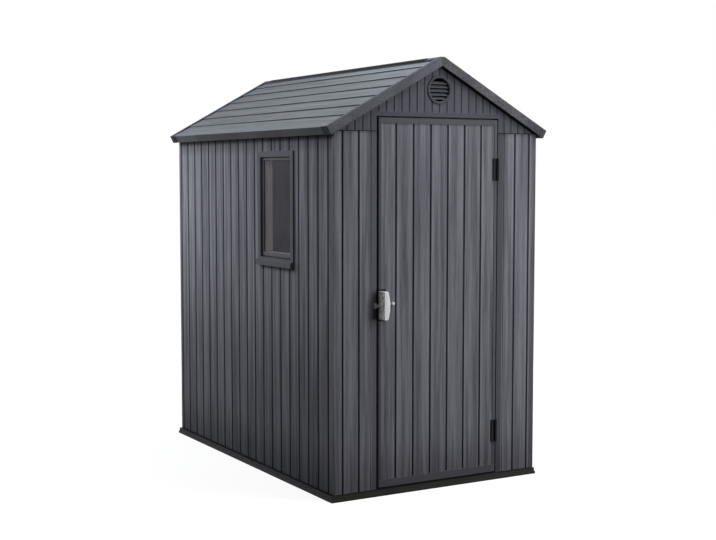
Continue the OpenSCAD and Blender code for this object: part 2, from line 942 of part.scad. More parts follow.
// Slim lever rising to a round knob, lying on the door beside the handle plate
module latch_lever() {
    arm_h = 8;
    arm_t = 5;
    arm_rise = 6;
    knob_out = 14;
    lift = 5;
    color(silver)
        translate([plate_x1, front_y + plank_set, handle_z + lift])
            union() {
                rotate([90, 0, 0])
                    linear_extrude(arm_t)
                        polygon([
                            [0, -arm_rise - arm_h / 2], [lever_len, -arm_h / 2],
                            [lever_len, arm_h / 2], [0, arm_h / 2 - arm_rise]
                        ]);
                translate([lever_len, 0, 0])
                    rotate([90, 0, 0])
                        cylinder(r = knob_r, h = knob_out);
            }
}

// Keeper on the left jamb: a small plate and a pierced round lug
module latch_keeper() {
    keeper_h = 24;
    keeper_t = 2;
    keeper_in = 2;
    keeper_w = 14;
    inner_x = opening_half + keeper_in;
    outer_x = inner_x + keeper_w;
    lug_t = 5;
    lug_r = 7;
    lug_out = 13;
    eye_r = 3;
    color(silver)
        translate([0, front_y, handle_z - lug_r / 2])
            union() {
                translate([0, 0, -keeper_h / 2])
                    linear_extrude(keeper_h)
                        polygon([
                            [-outer_x, jamb_depth(outer_x)], [-inner_x, jamb_depth(inner_x)],
                            [-inner_x, -keeper_t], [-outer_x, -keeper_t]
                        ]);
                difference() {
                    union() {
                        translate([-inner_x - lug_t, -lug_out, -lug_r])
                            cube([lug_t, lug_out, 2 * lug_r]);
                        translate([-inner_x - lug_t, -lug_out, 0])
                            rotate([0, 90, 0])
                                cylinder(r = lug_r, h = lug_t);
                    }
                    translate([-inner_x - lug_t - eps, -lug_out, 0])
                        rotate([0, 90, 0])
                            cylinder(r = eye_r, h = lug_t + 2 * eps);
                }
            }
}

floor_front();
floor_back();
front_wall_left();
front_wall_right();
left_wall_front();
left_wall_back();
right_wall_front();
right_wall_back();
back_wall_left();
back_wall_right();
front_gable();
back_gable();
front_vent();
back_vent();
roof_left();
roof_right();
ridge_cap();
ridge_beam();
front_barge_left();
front_barge_right();
back_barge_left();
back_barge_right();
window_casing();
window_frame();
window_pane();
window_lining();
upper_hinge_frame();
lower_hinge_frame();
latch_keeper();
door_panel();
upper_hinge_leaf();
lower_hinge_leaf();
handle_plate();
handle_grip();
latch_lever();
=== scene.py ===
# %% [markdown]
# # A garden shed of moulded planks
# The shed is about 1.9 m long: blow-moulded wall panels with a plank pattern, a roof of
# lapped boards, one door, one side window and a round louvred vent in each gable.
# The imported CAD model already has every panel, groove, hinge and bargeboard in place, so
# this script leaves those shapes alone. It adds what the CAD leaves out: the finish of
# every piece, a pull grip with the rounded corners of a casting, and the light.

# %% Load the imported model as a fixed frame
import math

import bpy
import numpy as np
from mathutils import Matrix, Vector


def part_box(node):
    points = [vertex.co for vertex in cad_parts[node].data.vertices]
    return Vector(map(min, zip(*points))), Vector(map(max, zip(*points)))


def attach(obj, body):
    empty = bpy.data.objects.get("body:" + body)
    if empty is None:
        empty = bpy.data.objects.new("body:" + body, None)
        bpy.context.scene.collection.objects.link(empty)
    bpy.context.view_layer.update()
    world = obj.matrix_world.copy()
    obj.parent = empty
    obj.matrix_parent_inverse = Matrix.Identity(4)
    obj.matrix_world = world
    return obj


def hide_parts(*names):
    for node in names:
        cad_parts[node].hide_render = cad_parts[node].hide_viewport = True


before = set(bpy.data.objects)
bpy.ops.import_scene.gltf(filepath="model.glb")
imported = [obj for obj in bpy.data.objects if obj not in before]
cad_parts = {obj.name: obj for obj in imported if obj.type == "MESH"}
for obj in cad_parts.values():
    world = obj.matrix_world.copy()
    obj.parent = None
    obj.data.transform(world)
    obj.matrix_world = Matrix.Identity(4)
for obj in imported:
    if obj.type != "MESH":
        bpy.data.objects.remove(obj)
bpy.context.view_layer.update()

# %% [markdown]
# ## Places
# Every place below comes from the boxes of CAD nodes, in metres. X runs across the front,
# Y from the front to the back, Z up. Small sizes of mouldings, such as the plank pitch,
# are design sizes of the shed and are written here once.

# %% Main planes of the shed
MM = 0.001


def low(node):
    """Lowest corner of a CAD node's box, as x, y, z."""
    return [float(v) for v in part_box(node)[0]]


def high(node):
    """Highest corner of a CAD node's box, as x, y, z."""
    return [float(v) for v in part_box(node)[1]]


front_y = low("front_wall_left")[1]
back_y = high("back_wall_left")[1]
half_span = high("right_wall_front")[0]
base_top = high("floor_front")[2]
seam_z = high("front_wall_left")[2]
gable_y = low("front_gable")[1]
door_half = high("door_panel")[0]
door_foot = low("door_panel")[2]
door_head = high("door_panel")[2]
roof_edge = high("front_barge_right")[0]
ridge_z = high("ridge_cap")[2]
wall_depth = back_y - low("back_wall_left")[1]
print("front wall at", round(front_y, 4), "seam at", round(seam_z, 4),
      "ridge at", round(ridge_z, 4), "wall", round(wall_depth, 4))

# %% Plank sizes of the mouldings
side_plank, side_first = 97 * MM, front_y + 54 * MM
end_plank, end_first = 86 * MM, half_span - 44 * MM
gable_plank = 42 * MM
door_plank = 96.5 * MM
roof_board, eave_board = 96.5 * MM, 124.5 * MM
# On the side walls the groove colour is painted wider, as shade beside each groove.
groove_half, side_groove_half = 5.5 * MM, 8 * MM
stile = 18 * MM
top_rail, foot_rail = 28 * MM, 38 * MM
jamb_width = 33 * MM   # from the edge of the door to the end of the jamb's bevel
lintel_band = 25 * MM  # how far over the door the gable is smooth
pitch = math.radians(28.85)
eave_top = seam_z + 16 * MM
print("plank pitches in mm: side", side_plank / MM, "ends", end_plank / MM,
      "gables", gable_plank / MM, "door", door_plank / MM, "roof", roof_board / MM)

# %% [markdown]
# ## Camera
# The shed is seen from the front left, from a little below its eaves, with a fairly long
# lens. A short lens close by would show the same sides, but it would make the near corner
# tower over the rest. The camera comes first because everything else is judged through it.

# %% Camera
camera_place = (-3.355, front_y - 5.0137, 1.5159)
camera_yaw, camera_dip, camera_roll = 30.118, 4.385, -0.014
camera_lens = 63.67

camera = bpy.data.objects.new("camera", bpy.data.cameras.new("camera"))
camera.data.sensor_width = 36
camera.data.lens = camera_lens
camera.location = camera_place
camera.rotation_euler = (
    math.radians(90 - camera_dip), math.radians(camera_roll), math.radians(-camera_yaw))
bpy.context.collection.objects.link(camera)
bpy.context.scene.camera = camera
bpy.context.scene.view_settings.view_transform = "Standard"
print("camera at", [round(v, 3) for v in camera_place], "lens", camera_lens)

# %% [markdown]
# ## A short way to write shader nodes
# Every finish here is a node tree. These helpers add one node at a time and give back the
# socket that the next node needs, so a tree reads like a formula.

# %% Helpers for node trees


def add_node(tree, kind, inputs=(), **settings):
    """Adds a node, sets its settings, and feeds its inputs with numbers or sockets."""
    made = tree.nodes.new(kind)
    for name, value in settings.items():
        setattr(made, name, value)
    for key, value in dict(inputs).items():
        if isinstance(value, bpy.types.NodeSocket):
            tree.links.new(value, made.inputs[key])
        else:
            made.inputs[key].default_value = value
    return made


def calc(tree, operation, a, b=0.0, clamp=False):
    """One Math node: returns operation(a, b)."""
    return add_node(tree, "ShaderNodeMath", {0: a, 1: b},
                    operation=operation, use_clamp=clamp).outputs[0]


def ramp(tree, value, start, end, low_out=0.0, high_out=1.0):
    """Maps value from start..end to low_out..high_out, with soft ends."""
    return add_node(
        tree, "ShaderNodeMapRange",
        {"Value": value, "From Min": start, "From Max": end,
         "To Min": low_out, "To Max": high_out},
        interpolation_type="SMOOTHSTEP").outputs["Result"]


def mix(tree, factor, a, b, blend="MIX"):
    """Mixes two colours."""
    return add_node(tree, "ShaderNodeMix", {0: factor, 6: a, 7: b},
                    data_type="RGBA", blend_type=blend).outputs[2]


def axes(tree, coordinates):
    """Splits a vector into its x, y and z sockets."""
    return add_node(tree, "ShaderNodeSeparateXYZ", {0: coordinates}).outputs


def vector(tree, x, y, z):
    """Joins three values into a vector."""
    return add_node(tree, "ShaderNodeCombineXYZ", {0: x, 1: y, 2: z}).outputs[0]


def object_place(tree):
    """Place on the piece, in metres."""
    return add_node(tree, "ShaderNodeTexCoord").outputs["Object"]


def flat_normal(tree):
    """Direction in which the flat face looks."""
    return add_node(tree, "ShaderNodeNewGeometry").outputs["True Normal"]


def noise(tree, place, scale, detail):
    """Even noise from 0 to 1: the larger the scale, the finer it is."""
    return add_node(tree, "ShaderNodeTexNoise",
                    {"Vector": place, "Scale": scale, "Detail": detail}).outputs["Fac"]


def scaled(colour, share):
    """The colour times share, held to 1."""
    return tuple(min(1.0, share * c) for c in colour[:3]) + (1,)


def new_group(name, inputs, outputs):
    """An empty shader node group with named float or vector sockets."""
    kinds = {"float": "NodeSocketFloat", "vector": "NodeSocketVector"}
    tree = bpy.data.node_groups.new(name, "ShaderNodeTree")
    for label, kind, value in inputs:
        socket = tree.interface.new_socket(name=label, in_out="INPUT", socket_type=kinds[kind])
        socket.default_value = value
    for label, kind in outputs:
        tree.interface.new_socket(name=label, in_out="OUTPUT", socket_type=kinds[kind])
    given, result = tree.nodes.new("NodeGroupInput"), tree.nodes.new("NodeGroupOutput")
    return tree, given.outputs, result.inputs


def place_group(tree, group, inputs):
    """Puts a node group into a tree and gives back its outputs."""
    return add_node(tree, "ShaderNodeGroup", inputs, node_tree=group).outputs


# %% [markdown]
# ## Effect 1: where the planks lie
# The planks are moulded at a steady pitch, with a tapered groove between each two. They
# could be painted one by one, a mask for every groove. As the pattern repeats, it is enough
# to know the number of the plank and the distance to the nearest groove, and the whole part
# and the remainder of (distance / pitch) give both for any number of planks. The grooves
# are dark, partly because the brushed finish reaches only the raised faces and partly as
# painted shade in the groove. The shoulders beside them are lighter, and a painted shade
# can lie beside each groove.

# %% Node group: plank layout
groove_soft = 1 * MM
shoulder_width = 20 * MM
# How far from a groove the painted shade beside it reaches.
groove_shade_width = 14 * MM

layout_group, given, result = new_group(
    "plank_layout",
    [("Across", "float", 0.0), ("First", "float", 0.0), ("Pitch", "float", 0.1),
     ("Groove half", "float", 0.005)],
    [("Plank", "float"), ("Groove", "float"), ("Shoulder", "float"), ("Slope", "float")])
t = layout_group
turns = calc(t, "DIVIDE", calc(t, "SUBTRACT", given["Across"], given["First"]), given["Pitch"])
t.links.new(calc(t, "FLOOR", turns), result["Plank"])
remainder = calc(t, "FRACT", turns)
from_groove = calc(t, "MULTIPLY", calc(t, "SUBTRACT", 0.5, calc(
    t, "ABSOLUTE", calc(t, "SUBTRACT", remainder, 0.5))), given["Pitch"])
clear_of_groove = calc(t, "SUBTRACT", from_groove, given["Groove half"])
t.links.new(ramp(t, clear_of_groove, -2 * groove_soft, groove_soft, 1.0, 0.0),
            result["Groove"])
t.links.new(calc(t, "MULTIPLY", ramp(t, clear_of_groove, -groove_soft, 3 * groove_soft),
                 ramp(t, clear_of_groove, 4 * groove_soft, shoulder_width, 1.0, 0.0)),
            result["Shoulder"])
t.links.new(ramp(t, clear_of_groove, 0.0, groove_shade_width, 1.0, 0.0), result["Slope"])
print("plank layout puts out:", [socket.name for socket in result if socket.name])

# %% [markdown]
# ## Effect 2: brushed grain
# The mould has a shallow oak grain, and the raised lines are brushed lighter. On the real
# shed it reads as long soft bands some 20 mm wide, finer streaks inside them, and hair
# lines of about 2 mm. One noise with many octaves would make all of them equally long, so
# there are three noises, each stretched along the plank by its own length. The plank's
# number moves the noise so that no two planks match, and a slow wave bends the lines.

# %% Node group: brushed grain
# Each size is the width across the plank and the length along it. Noise stays near its
# middle value, so each span is the part of it that is spread out from dark to light.
wave_size, wave_reach = (300 * MM, 450 * MM), 20 * MM
band_size, band_span = (24 * MM, 900 * MM), (0.36, 0.64)
streak_size, streak_span = (8.5 * MM, 320 * MM), (0.34, 0.66)
hair_size, hair_span = (2.4 * MM, 90 * MM), (0.32, 0.68)
streak_height, hair_height = 0.6, 0.4
seed_step = 7.31

grain_group, given, result = new_group(
    "brushed_grain",
    [("Across", "float", 0.0), ("Along", "float", 0.0), ("Plank", "float", 0.0)],
    [("Band", "float"), ("Streak", "float"), ("Hair", "float"), ("Height", "float")])
t = grain_group


def stretched_noise(tree, across, along, seed, size, detail, roughness=0.5):
    """Noise whose features have the given width across the plank and length along it."""
    width, length = size
    place = vector(tree, calc(tree, "DIVIDE", across, width), 0.0,
                   calc(tree, "DIVIDE", along, length))
    return add_node(tree, "ShaderNodeTexNoise",
                    {"Vector": place, "W": seed, "Scale": 1.0, "Detail": detail,
                     "Roughness": roughness}, noise_dimensions="4D").outputs["Fac"]


seed = calc(t, "MULTIPLY", given["Plank"], seed_step)
wave = stretched_noise(t, given["Across"], given["Along"], seed, wave_size, 1.0)
bend = calc(t, "MULTIPLY", calc(t, "SUBTRACT", wave, 0.5), wave_reach)
bent = calc(t, "ADD", given["Across"], bend)
band = stretched_noise(t, bent, given["Along"], seed, band_size, 1.0)
streak = stretched_noise(t, bent, given["Along"], seed, streak_size, 2.0, 0.55)
hair = stretched_noise(t, bent, given["Along"], seed, hair_size, 2.0, 0.6)
t.links.new(ramp(t, band, *band_span), result["Band"])
t.links.new(ramp(t, streak, *streak_span), result["Streak"])
t.links.new(ramp(t, hair, *hair_span), result["Hair"])
t.links.new(calc(t, "ADD", calc(t, "MULTIPLY", streak, streak_height),
                 calc(t, "MULTIPLY", hair, hair_height)), result["Height"])
print("brushed grain puts out:", [socket.name for socket in result if socket.name])

# %% [markdown]
# ## Effect 3: scuffed edges
# Moulded corners are a little round and pick up light scuffs. Rounding every corner in the
# mesh would cost many faces and would change the CAD's shapes. Instead, rays that look for
# a nearby face give a softened normal. Where it leans away from the flat one there is an
# edge, and a noise breaks the scuff along it into patches.

# %% Node group: scuffed edges
flat_cosine, edge_cosine = 0.995, 0.80   # between the softened and the flat normal
patch_span, least_scuff = (0.35, 0.65), 0.35

edge_group, given, result = new_group(
    "scuffed_edges", [("Radius", "float", 3 * MM), ("Break up", "float", 60.0)],
    [("Edge", "float"), ("Normal", "vector")])
t = edge_group
soft = add_node(t, "ShaderNodeBevel", {"Radius": given["Radius"]}, samples=4).outputs[0]
lean = add_node(t, "ShaderNodeVectorMath", {0: soft, 1: flat_normal(t)},
                operation="DOT_PRODUCT").outputs["Value"]
patches = noise(t, object_place(t), given["Break up"], 3.0)
t.links.new(calc(t, "MULTIPLY", ramp(t, lean, flat_cosine, edge_cosine),
                 ramp(t, patches, *patch_span, least_scuff, 1.0)), result["Edge"])
t.links.new(soft, result["Normal"])
print("scuffed edges puts out:", [socket.name for socket in result if socket.name])

# %% [markdown]
# ## Plank finishes
# Walls, door, gables and roof are one kind of resin, grey right through and brushed lighter
# on the raised faces. Each panel could have a node tree of its own, but the trees would
# differ only in which way the planks lie and in a few colours. So one function makes every
# plank finish. It is told which way the planks lie, where the first groove is, and which
# zone is planked; outside that zone the same resin is smooth and darker, as on the door's
# rails, the jambs and the band over the door. The inner face of a wall is a smooth warm
# grey. Daylight fades softly at the foot of a wall and under the eaves, and lamps give only
# a part of that, so each finish also takes a list of painted shades and lights. Thin gaps
# and undersides are painted black as shade, and the side walls are painted lighter.

# %% Resin colours
wall_light = (0.204, 0.204, 0.237, 1)
wall_dark = (0.076, 0.076, 0.092, 1)
# The side walls: the wall resin painted lighter, as light.
side_light = (0.242, 0.246, 0.280, 1)
side_dark = (0.088, 0.090, 0.107, 1)
smooth_wall = (0.083, 0.083, 0.099, 1)
# Partly the unbrushed resin, partly painted shade in the grooves.
groove_colour = (0.062, 0.062, 0.086, 1)
inner_grey = (0.15, 0.14, 0.13, 1)
gable_smooth = (0.076, 0.076, 0.096, 1)
gable_light = (0.104, 0.104, 0.130, 1)
gable_dark = (0.071, 0.072, 0.087, 1)
# Partly the unbrushed resin of the gable, partly painted shade in its grooves.
gable_groove = (0.064, 0.065, 0.079, 1)
roof_light = (0.183, 0.205, 0.226, 1)
roof_dark = (0.116, 0.130, 0.145, 1)
# Painted shade for faces of the roof that do not look up, such as the fascia.
fascia_shade = (0.042, 0.046, 0.055, 1)
# Painted shade in gaps and on undersides, and the black of joints and hinge knuckles.
shade_and_joint_black = (0.017, 0.017, 0.023, 1)
print("walls from", wall_dark[:3], "to", wall_light[:3])

# %% Ways to measure along and across planks


def along_x(tree, parts):
    """Distance across the front or back."""
    return parts["X"]


def out_from_middle(tree, parts):
    """Distance across the front or back, the same on the left and the right half."""
    return calc(tree, "ABSOLUTE", parts["X"])


def along_y(tree, parts):
    """Distance from front to back."""
    return parts["Y"]


def up_z(tree, parts):
    """Height."""
    return parts["Z"]


def from_eave(tree, parts):
    """Distance in from the nearer eave, and height over it."""
    way_in = calc(tree, "SUBTRACT", roof_edge, out_from_middle(tree, parts))
    return way_in, calc(tree, "SUBTRACT", parts["Z"], eave_top)


def up_slope(tree, parts):
    """Distance up either slope: way in times cosine, plus height times sine of the pitch."""
    way_in, rise = from_eave(tree, parts)
    return calc(tree, "ADD", calc(tree, "MULTIPLY", way_in, math.cos(pitch)),
                calc(tree, "MULTIPLY", rise, math.sin(pitch)))


def over_slope(tree, parts):
    """Height square to the slope: height times cosine, less way in times sine of the pitch."""
    way_in, rise = from_eave(tree, parts)
    return calc(tree, "SUBTRACT", calc(tree, "MULTIPLY", rise, math.cos(pitch)),
                calc(tree, "MULTIPLY", way_in, math.sin(pitch)))


# %% Masks
mask_soft = 0.5 * MM
down_from, down_to = -0.45, -0.30  # upward part of the normal


def zone_mask(tree, coordinates, bounds):
    """1 inside a box given as {axis letter: (low, high)}, 0 outside, with soft edges."""
    parts = axes(tree, coordinates)
    mask = None
    for letter, (start, end) in bounds.items():
        value = parts[letter]
        inside = calc(tree, "MULTIPLY", ramp(tree, value, start - mask_soft, start + mask_soft),
                      ramp(tree, value, end - mask_soft, end + mask_soft, 1.0, 0.0))
        mask = inside if mask is None else calc(tree, "MULTIPLY", mask, inside)
    return mask


def looks_down(tree):
    """1 on faces that look down, 0 on upright faces and on those that look up."""
    return ramp(tree, axes(tree, flat_normal(tree))["Z"], down_from, down_to, 1.0, 0.0)


# %% One function for every plank finish
band_share, streak_share, hair_share, shoulder_share = 0.50, 0.28, 0.22, 0.22
plank_edge_radius = 2.5 * MM
smooth_grain, smooth_lift = 0.35, 1.25  # how much of the hair lines smooth resin shows
# Steep faces are painted in shade; the shade fades out between these upward parts of the
# normal.
steep_from, steep_to = 0.45, 0.75       # upward part of the normal: end face to roof slope
scuff_lift = 1.5
gloss_swing = 0.06


def start_material(name, roughness, specular):
    """A material with a Principled BSDF: returns the material, its tree and that node."""
    material = bpy.data.materials.new(name)
    material.use_nodes = True
    tree = material.node_tree
    shader = tree.nodes["Principled BSDF"]
    shader.inputs["Roughness"].default_value = roughness
    shader.inputs["Specular IOR Level"].default_value = specular
    return material, tree, shader


def plank_tone(tree, layout, grain, slope):
    """Tone from 0 (dark) to 1 (light): bands, streaks, hairs and shoulders add, slope paints
    shade.
    """
    tone = calc(tree, "ADD", calc(tree, "MULTIPLY", grain["Band"], band_share),
                calc(tree, "ADD", calc(tree, "MULTIPLY", grain["Streak"], streak_share),
                     calc(tree, "MULTIPLY", grain["Hair"], hair_share)))
    shoulder = calc(tree, "MULTIPLY", layout["Shoulder"], shoulder_share)
    tone = calc(tree, "ADD", tone, shoulder, clamp=True)
    fall = calc(tree, "MULTIPLY", layout["Slope"], slope)
    return calc(tree, "SUBTRACT", tone, fall, clamp=True)


def plank_finish(name, across, along, first, plank, light, dark, smooth=smooth_wall,
                 groove=groove_colour, groove_half_width=groove_half, slope=0.0,
                 zone=None, plain=(), gaps=(), inside=None, steep=None, under=None,
                 eaves=None, shades=(), relief=0.6 * MM, roughness=0.58, specular=0.03,
                 wear=0.30):
    """Resin with brushed planks.

    across and along are functions of the split coordinates. Boxes say where the planks are
    (zone), which parts are smooth (plain), which thin edges are painted black as the shade of
    a gap (gaps), and where the inner face is (inside). steep is a painted shade for faces that
    do not look up. Each of the shades is an axis, where it starts and ends, and the share of
    the colour left at both: painted shade, and painted light where a share is over 1. slope
    paints shade beside the grooves, faces that look down in the box of under are painted black
    as deep shade, and so is what lies higher than eaves, two heights square to the roof's
    slope.
    """
    material, tree, shader = start_material(name, roughness, specular)
    place = object_place(tree)
    parts = axes(tree, place)
    u, v = across(tree, parts), along(tree, parts)
    layout = place_group(tree, layout_group, {"Across": u, "First": first, "Pitch": plank,
                                              "Groove half": groove_half_width})
    grain = place_group(tree, grain_group, {"Across": u, "Along": v, "Plank": layout["Plank"]})
    edges = place_group(tree, edge_group, {"Radius": plank_edge_radius})

    planks = mix(tree, plank_tone(tree, layout, grain, slope), dark, light)
    planks = mix(tree, layout["Groove"], planks, groove)
    planked = zone_mask(tree, place, zone) if zone else 1.0
    for box in plain:
        beside = calc(tree, "SUBTRACT", 1.0, zone_mask(tree, place, box))
        planked = calc(tree, "MULTIPLY", planked, beside)
    unbrushed = mix(tree, calc(tree, "MULTIPLY", grain["Hair"], smooth_grain), smooth,
                    scaled(smooth, smooth_lift))
    colour = mix(tree, planked, unbrushed, planks)
    if steep:
        upward = axes(tree, flat_normal(tree))["Z"]
        colour = mix(tree, ramp(tree, upward, steep_from, steep_to), steep, colour)
    for letter, start, end, share_first, share_last in shades:
        share = ramp(tree, parts[letter], start, end, share_first, share_last)
        colour = mix(tree, 1.0, colour, vector(tree, share, share, share), blend="MULTIPLY")
    if inside:
        colour = mix(tree, zone_mask(tree, place, inside), colour, inner_grey)
    colour = mix(tree, calc(tree, "MULTIPLY", edges["Edge"], wear), colour,
                 scaled(light, scuff_lift))
    for box in gaps:
        colour = mix(tree, zone_mask(tree, place, box), colour, shade_and_joint_black)
    if under:
        below = calc(tree, "MULTIPLY", zone_mask(tree, place, under), looks_down(tree))
        colour = mix(tree, below, colour, shade_and_joint_black)
    if eaves:
        colour = mix(tree, ramp(tree, over_slope(tree, parts), *eaves), colour, shade_and_joint_black)
    tree.links.new(colour, shader.inputs["Base Color"])

    tree.links.new(ramp(tree, grain["Streak"], 0.0, 1.0,
                        roughness + gloss_swing, roughness - gloss_swing),
                   shader.inputs["Roughness"])
    raised = calc(tree, "MULTIPLY", grain["Height"],
                  calc(tree, "SUBTRACT", 1.0, layout["Groove"]))
    bump = add_node(tree, "ShaderNodeBump", {
        "Strength": 1.0, "Distance": relief, "Normal": edges["Normal"],
        "Height": calc(tree, "MULTIPLY", raised, planked)})
    tree.links.new(bump.outputs[0], shader.inputs["Normal"])
    return material


# %% Places that the finishes share
reach = 3.0                    # farther out than any part of the shed
into_wall = 0.6 * wall_depth   # just past the middle of a wall
sliver = 1.2 * MM              # the thickness of a thin edge
# The seam line is painted black, as the shadow under the gable.
seam_line = 2 * MM             # the dark line where the gable stands on the walls
latch_edge = 6 * MM            # the edge of the door that lies in the shade of the latch gap
jamb_edge = door_half + jamb_width
lintel_top = door_head + lintel_band
inner_front = {"Y": (front_y + into_wall, reach)}
inner_back = {"Y": (-reach, back_y - into_wall)}
inner_sides = {"X": (into_wall - half_span, half_span - into_wall)}
inner_gables = {"Y": (front_y + into_wall, -front_y - into_wall)}
print("jamb edge at", round(jamb_edge, 4), "top of the smooth band", round(lintel_top, 4))

# %% Shades of the walls and the door
# Each paints shade, and light where a share is over 1: an axis, its start and end, and the
# share of the colour left at both.
foot_reach = 270 * MM
shade_of_base = ("Z", base_top, base_top + foot_reach, 0.62, 1.0)
# A painted shadow line just under the gable.
line_under_gable = ("Z", seam_z - 20 * MM, seam_z - 2 * MM, 1.0, 0.72)
side_shades = [
    # Painted shade from the base up: close to the floor, then more slowly up to half the
    # height.
    ("Z", base_top, base_top + foot_reach, 0.56, 1.0),
    ("Z", base_top + 500 * MM, base_top + 920 * MM, 0.78, 1.0),
    # Painted shade towards the eave: wide and faint, then narrower, then the painted black
    # shadow line under it.
    ("Z", seam_z - 400 * MM, seam_z - 120 * MM, 1.0, 0.88),
    ("Z", seam_z - 110 * MM, seam_z - 45 * MM, 1.0, 0.62),
    ("Z", seam_z - 52 * MM, seam_z - 27 * MM, 1.0, 0.22),
    # Painted shade on the rounded corner at the front.
    ("Y", front_y + 10 * MM, front_y + 20 * MM, 0.68, 1.0),
]
front_shades = [
    shade_of_base,
    line_under_gable,
    # Painted shade under the overhang of the gable, and at the corner by the hinges.
    ("Z", seam_z - 450 * MM, seam_z - 150 * MM, 1.0, 0.93),
    ("X", half_span - 32 * MM, half_span - 26 * MM, 1.0, 0.72),
]
foot_rail_top = door_foot + foot_rail
door_shades = [
    shade_of_base,
    # Painted shade low on the door, slowly lighter towards the height of the handle.
    ("Z", base_top + 360 * MM, base_top + 860 * MM, 0.94, 1.0),
    # Painted light on the stile at the latch, and painted shade on the hinge side.
    ("X", stile - door_half, 1.4 * stile - door_half, 1.16, 1.0),
    ("X", 0.0, door_half, 1.0, 0.93),
    # Painted light on the rail at the foot, lighter than the planks over it.
    ("Z", foot_rail_top - 3 * MM, foot_rail_top, 1.30, 1.0),
]
print("shades: sides", len(side_shades), "front", len(front_shades), "door", len(door_shades))

# %% Finishes of the walls, the door and the gables
# The gaps are painted black as shade: the stop behind the latch side of the door, the seam
# between the walls and the gable, the thin edges of the door, and what the gable shows round
# the door.
under_barges = (-50 * MM, -42 * MM)  # square to the slope: full light below, deep shade above
latch_stop = {"X": (-door_half, 0)}
wall_seam, gable_seam = {"Z": (seam_z - seam_line, reach)}, {"Z": (0, seam_z + seam_line)}
door_edges = [{"X": (-reach, latch_edge - door_half)}, {"Z": (door_head - sliver, reach)},
              {"Z": (-reach, door_foot + sliver)}]
round_door = {"X": (-door_half - sliver, door_half + sliver), "Y": (-reach, 0),
              "Z": (0, door_head + sliver)}
# The side walls are painted lighter, with painted shade beside each groove.
side_wall_finish = plank_finish(
    "side_planks", along_y, up_z, side_first, side_plank, side_light, side_dark,
    groove_half_width=side_groove_half, slope=0.30, inside=inner_sides, shades=side_shades)
front_wall_finish = plank_finish(
    "front_planks", out_from_middle, up_z, end_first, end_plank, wall_light, wall_dark,
    plain=[{"X": (-jamb_edge, jamb_edge)}],
    gaps=[latch_stop, wall_seam],
    inside=inner_front, shades=front_shades)
back_wall_finish = plank_finish(
    "back_planks", out_from_middle, up_z, end_first, end_plank, wall_light, wall_dark,
    inside=inner_back, shades=[shade_of_base, line_under_gable])
door_finish = plank_finish(
    "door_planks", along_x, up_z, door_plank / 2, door_plank, wall_light, wall_dark,
    zone={"X": (stile - door_half, door_half - stile),
          "Z": (foot_rail_top - 2 * MM, door_head - top_rail),
          "Y": (-reach, front_y + into_wall)},
    gaps=door_edges,
    inside=inner_front, shades=door_shades, wear=0.12)
gable_finish = plank_finish(
    "gable_planks", along_x, up_z, 0.0, gable_plank, gable_light, gable_dark,
    smooth=gable_smooth, groove=gable_groove,
    plain=[{"X": (-jamb_edge, jamb_edge), "Z": (0, lintel_top), "Y": (-reach, 0)}],
    gaps=[round_door, gable_seam],
    inside=inner_gables, eaves=under_barges)
print("plank finishes so far:", [finish.name for finish in (
    side_wall_finish, front_wall_finish, back_wall_finish, door_finish, gable_finish)])

# %% Finish of the roof
# The boards lap each other, so they have no groove: a half width below nothing leaves the
# groove colour out. A few boards are a little lighter or darker than the rest.
no_groove = -2 * MM
lap_line = 1 * MM
board_rise = roof_board * math.sin(pitch)
first_lap = eave_top + eave_board * math.sin(pitch)
board_shares = {0: 0.91, 2: 1.07}
roof_shades = [
    # Painted shade on the eave edge, painted light on the boards next to the ridge, and painted
    # shade at the far end.
    ("Z", eave_top - 3 * MM, eave_top, 0.86, 1.0),
    ("Z", ridge_z - 100 * MM, ridge_z - 30 * MM, 1.0, 1.20),
    ("Y", 0.4 * back_y, back_y, 1.0, 0.92),
]
for board, share in board_shares.items():
    foot = first_lap + board * board_rise
    head = foot + board_rise
    roof_shades += [("Z", foot, foot + lap_line, 1.0, share),
                    ("Z", head, head + lap_line, 1.0, 1 / share)]
# The fascia and the other faces that do not look up are painted in shade, and the faces that
# look down at the front overhang are painted black as shade.
roof_finish = plank_finish(
    "roof_boards", up_slope, along_y, eave_board, roof_board, roof_light, roof_dark,
    groove_half_width=no_groove, steep=fascia_shade, under={"Y": (-reach, gable_y + sliver)},
    shades=roof_shades, specular=0.10)
print("roof boards with a tone of their own:", sorted(board_shares))

# %% [markdown]
# ## Smooth mouldings
# Bargeboards, ridge cap, window casing and vents are the same resin with a fine stipple
# from the mould instead of planks. The stipple could be shaped in the mesh, but grains of
# 2 mm on boards of 1 m would cost too many faces, so one noise gives it in colour and in
# relief. The bargeboards are painted lighter on the left and darker on the right, as light and
# shade, and the ridge cap is painted near black, as the shade of its side face. The beam
# inside and the plate of the handle are black, the base is matte black with painted light on
# its sides and a painted shadow along its top, the strip behind the pane is painted pale, as
# light through the pane, and the handle is satin metal.

# %% One function for every smooth moulding
fine_share, cloud_share = 0.6, 0.4
cloud_scale, stain_scale = 9.0, 70.0
noise_span, stain_span, light_patch_span = (0.3, 0.7), (0.38, 0.62), (0.2, 0.8)
least_light_patch = 0.8
left_span = (0.35, 0.85)  # leftward part of the normal
moulding_edge_radius = 2.2 * MM
moulding_scuff_lift = 1.9
joint_share = 0.6
cloud_gloss = 0.05


